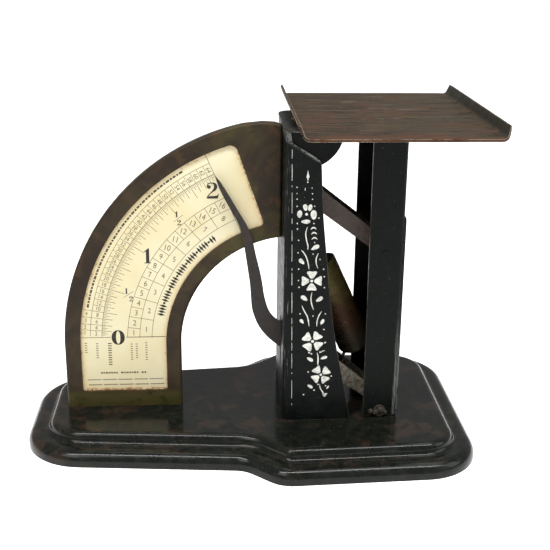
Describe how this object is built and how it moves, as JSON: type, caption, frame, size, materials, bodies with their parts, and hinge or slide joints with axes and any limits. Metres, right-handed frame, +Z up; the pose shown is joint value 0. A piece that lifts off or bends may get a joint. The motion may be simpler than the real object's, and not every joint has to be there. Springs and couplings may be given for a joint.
{
  "type": "postal letter scale",
  "caption": "Quadrant letter scale: flat pan on a parallel-link stem, spring inside a column, curved pointer over a quarter-circle dial, on a stepped sheet base.",
  "frame": {"origin": "on the surface the scale stands on, at the middle of its length and on the plane the base, column, stem and pan are symmetric about", "axes": "+X from the dial towards the pan, +Y to the back, +Z up"},
  "size_m": [0.212, 0.1296, 0.1597],
  "materials": {
    "base_japan": "glossy black japan over sheet steel, rubbed through to brown at the edges",
    "column_japan": "semi-gloss black japan, silver stencil on the front cheek",
    "worn_japan": "black japan worn to bare grey metal",
    "stem_japan": "semi-gloss black japan",
    "link_brown": "brown lacquer, worn and lightly rusted",
    "pointer_black": "dark brown japan",
    "pan_rust": "dark brown japan with rust streaks and bright worn lips",
    "dial_lacquer": "olive brown lacquered sheet",
    "card_paper": "aged cream printed paper",
    "spring_wire": "tarnished spring wire",
    "dark_steel": "oxidised steel",
    "pin_steel": "pin ends japanned over",
    "rusty_pin": "rusted rivet heads",
    "brass_screw": "dull brass"
  },
  "bodies": {
    "root": {"base_shell": "base_japan", "column_shell": "column_japan", "column_screws": "dark_steel", "head_bracket": "column_japan", "head_rivets": "column_japan", "cap_plate": "worn_japan", "cap_rivets": "worn_japan", "hook_nut": "dark_steel", "spring_hook_rod": "dark_steel", "counter_spring": "spring_wire", "lower_pivot_pin": "pin_steel", "upper_pivot_pin": "pin_steel", "lower_pivot_bushes": "dark_steel", "upper_pivot_bushes": "dark_steel", "dial_frame": "dial_lacquer", "dial_card": "card_paper", "dial_backplate": "dial_lacquer", "dial_clips": "dial_lacquer", "dial_foot_rivets": "dial_lacquer", "dial_end_rivets": "dial_lacquer"},
    "lower_link": {"lower_link": "link_brown", "pointer": "pointer_black", "pointer_rivets": "dark_steel", "spring_anchor_pin": "dark_steel"},
    "upper_link": {"upper_link": "link_brown"},
    "stem": {"stem_channel": "stem_japan", "stem_backing_strip": "stem_japan", "strip_rivets": "stem_japan", "stem_upper_pin": "pin_steel", "stem_lower_pin": "rusty_pin", "stem_upper_bushes": "dark_steel", "stem_lower_bushes": "dark_steel", "pan": "pan_rust", "pan_rivets": "pan_rust"},
    "spring_end": {"spring_lower_hook": "dark_steel"},
    "adjuster": {"adjusting_screw": "brass_screw"}
  },
  "joints": [
    {"name": "platform_swing", "type": "hinge", "parent": "root", "child": "lower_link", "pos_m": [0.02235, 0, 0.0455], "axis": [0, -1, 0], "range_deg": [0, 65], "deforming": ["counter_spring"]},
    {"name": "upper_swing", "type": "hinge", "parent": "root", "child": "upper_link", "pos_m": [0.02235, 0, 0.1237], "axis": [0, -1, 0], "range_deg": [-1, 66]},
    {"name": "pan_level", "type": "hinge", "parent": "lower_link", "child": "stem", "pos_m": [0.062, 0, 0.0153], "axis": [0, -1, 0], "range_deg": [-66, 1]},
    {"name": "spring_stretch", "type": "slide", "parent": "root", "child": "spring_end", "axis": [0.0836, 0, 0.9965], "range_m": [-0.0005, 0.02951], "deforming": ["spring_lower_hook"]},
    {"name": "zero_adjust", "type": "hinge", "parent": "root", "child": "adjuster", "pos_m": [0.0224, 0, 0.15], "axis": [0, 0, 1], "range_deg": [-720, 720]}
  ],
  "couplings": [
    {"joint": "upper_swing", "follows": "platform_swing", "ratio": 1},
    {"joint": "pan_level", "follows": "platform_swing", "ratio": -1},
    {"joint": "spring_stretch", "follows": "platform_swing", "m_per_rad": 0.025575}
  ]
}
